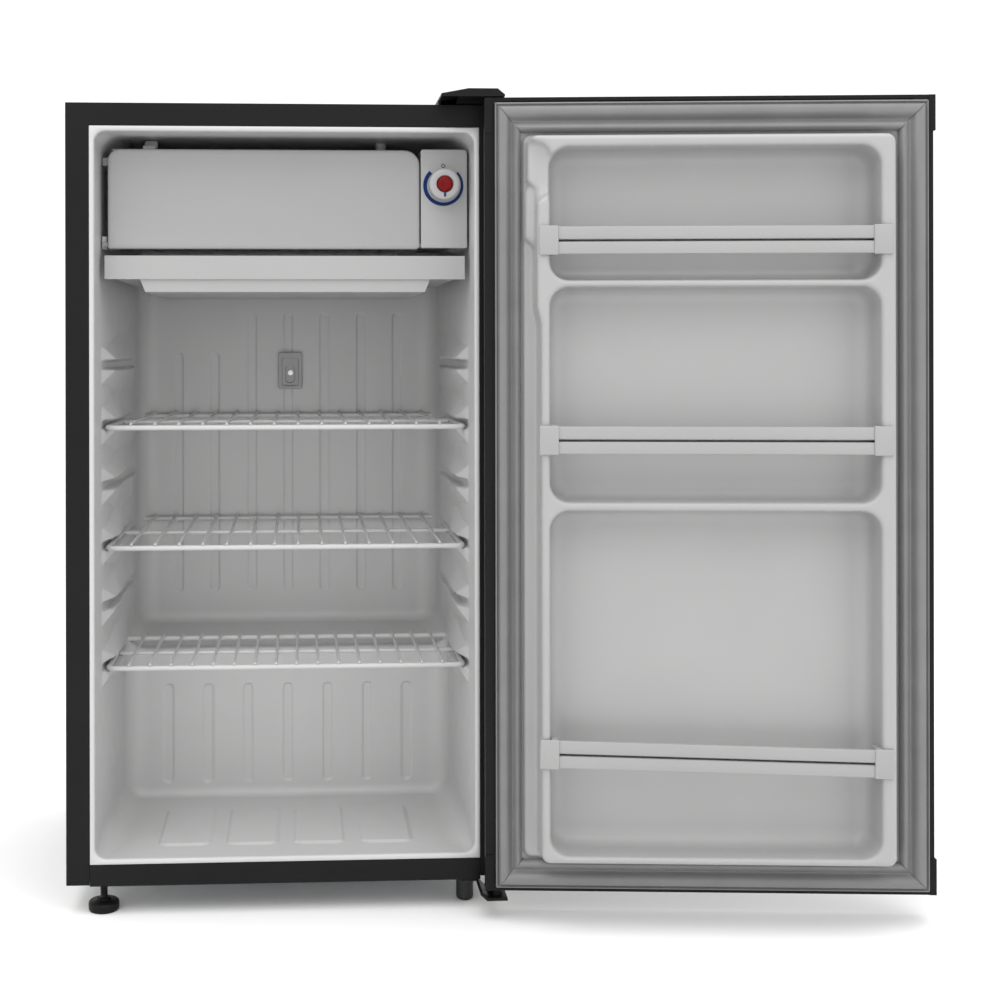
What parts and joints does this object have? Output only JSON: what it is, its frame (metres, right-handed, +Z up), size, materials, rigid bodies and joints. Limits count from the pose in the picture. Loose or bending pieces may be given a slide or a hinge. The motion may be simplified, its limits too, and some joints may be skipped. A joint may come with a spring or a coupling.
{
  "type": "mini fridge",
  "caption": "Compact upright refrigerator with an ice box, wire shelves, a drip tray and racks in its door, which stands open on the right.",
  "frame": {"origin": "middle of the whole object's box on the floor, with the door standing open as stored", "axes": "+Z up, the front faces -Y, +X to the right seen from the front, on the hinge side"},
  "size_m": [0.9226, 0.5034, 0.8861],
  "materials": {
    "shell_paint": "satin",
    "galvanised": "satin",
    "black_paint": "satin",
    "liner_plastic": "gloss",
    "door_liner_plastic": "gloss",
    "white_plastic": "gloss",
    "matte_white_plastic": "satin",
    "black_plastic": "satin",
    "foam": "matte",
    "evaporator_aluminium": "satin",
    "steel_fasteners": "satin",
    "copper": "satin",
    "gasket_rubber": "satin",
    "magnet_rubber": "matte",
    "black_rubber": "matte",
    "coated_wire": "gloss",
    "blue_print": "satin",
    "red_plastic": "gloss",
    "bush_plastic": "satin"
  },
  "bodies": {
    "cabinet": {"cabinet_shell": "shell_paint", "front_crosspiece": "shell_paint", "base_deck": "galvanised", "compressor_base": "black_paint", "back_panel": "galvanised", "cabinet_insulation": "foam", "inner_liner": "liner_plastic", "evaporator_box": "evaporator_aluminium", "evaporator_hangers": "matte_white_plastic", "freezer_frame": "matte_white_plastic", "thermostat_housing": "white_plastic", "thermostat_body": "galvanised", "housing_screws": "steel_fasteners", "capillary_tube": "copper", "dial_markings": "blue_print", "probe_cover": "white_plastic", "probe_screw": "steel_fasteners", "compressor": "black_paint", "compressor_feet": "black_paint", "grommets": "black_rubber", "compressor_bolts": "steel_fasteners", "start_relay": "black_plastic", "filter_drier": "copper", "suction_line": "copper", "refrigerant_capillary": "copper", "discharge_line": "copper", "liquid_line": "copper", "condenser": "black_paint", "condenser_brackets": "black_plastic", "cord_gland": "black_rubber", "top_hinge_bracket": "black_paint", "top_hinge_cover": "black_plastic", "top_hinge_screws": "steel_fasteners", "lower_hinge_bracket": "black_paint", "lower_hinge_screws": "steel_fasteners", "front_right_foot": "black_rubber", "rear_feet": "black_rubber"},
    "door": {"door_panel": "shell_paint", "door_top_cap": "black_plastic", "door_bottom_cap": "black_plastic", "door_insulation": "foam", "door_liner": "door_liner_plastic", "door_gasket": "gasket_rubber", "gasket_magnets": "magnet_rubber", "door_grip": "black_plastic", "hinge_bushes": "bush_plastic", "rack_bar_upper": "white_plastic", "rack_bar_middle": "white_plastic", "rack_bar_lower": "white_plastic"},
    "flap": {"freezer_flap": "white_plastic"},
    "tray": {"drip_tray": "white_plastic"},
    "upper_shelf": {"shelf_upper": "coated_wire"},
    "middle_shelf": {"shelf_middle": "coated_wire"},
    "lower_shelf": {"shelf_lower": "coated_wire"},
    "knob": {"thermostat_knob": "white_plastic", "knob_pointer": "blue_print"},
    "button": {"defrost_button": "red_plastic"},
    "levelling_foot": {"foot_stud": "steel_fasteners", "foot_pad": "black_plastic"}
  },
  "joints": [
    {"name": "door_hinge", "type": "hinge", "parent": "cabinet", "child": "door", "pos_m": [-0.00075, -0.16361, 0.45], "axis": [0, 0, 1], "range_deg": [-175.3, 4]},
    {"name": "flap_hinge", "type": "hinge", "parent": "cabinet", "child": "flap", "pos_m": [-0.22525, -0.09331, 0.725], "axis": [1, 0, 0], "range_deg": [0, 90]},
    {"name": "tray_slide", "type": "slide", "parent": "cabinet", "child": "tray", "axis": [0, -1, 0], "range_m": [0, 0.2]},
    {"name": "upper_shelf_slide", "type": "slide", "parent": "cabinet", "child": "upper_shelf", "axis": [0, -1, 0], "range_m": [0, 0.24]},
    {"name": "middle_shelf_slide", "type": "slide", "parent": "cabinet", "child": "middle_shelf", "axis": [0, -1, 0], "range_m": [0, 0.24]},
    {"name": "lower_shelf_slide", "type": "slide", "parent": "cabinet", "child": "lower_shelf", "axis": [0, -1, 0], "range_m": [0, 0.13]},
    {"name": "knob_turn", "type": "hinge", "parent": "cabinet", "child": "knob", "pos_m": [-0.05005, -0.11431, 0.7905], "axis": [0, 1, 0], "range_deg": [-180, 138]},
    {"name": "defrost_push", "type": "slide", "parent": "cabinet", "child": "button", "axis": [0, 1, 0], "range_m": [0, 0.003], "stiffness_N_per_m": 500, "springref_m": -0.002},
    {"name": "foot_turn", "type": "hinge", "parent": "cabinet", "child": "levelling_foot", "pos_m": [-0.42355, -0.11931, 0.005], "axis": [0, 0, 1], "continuous": true}
  ]
}
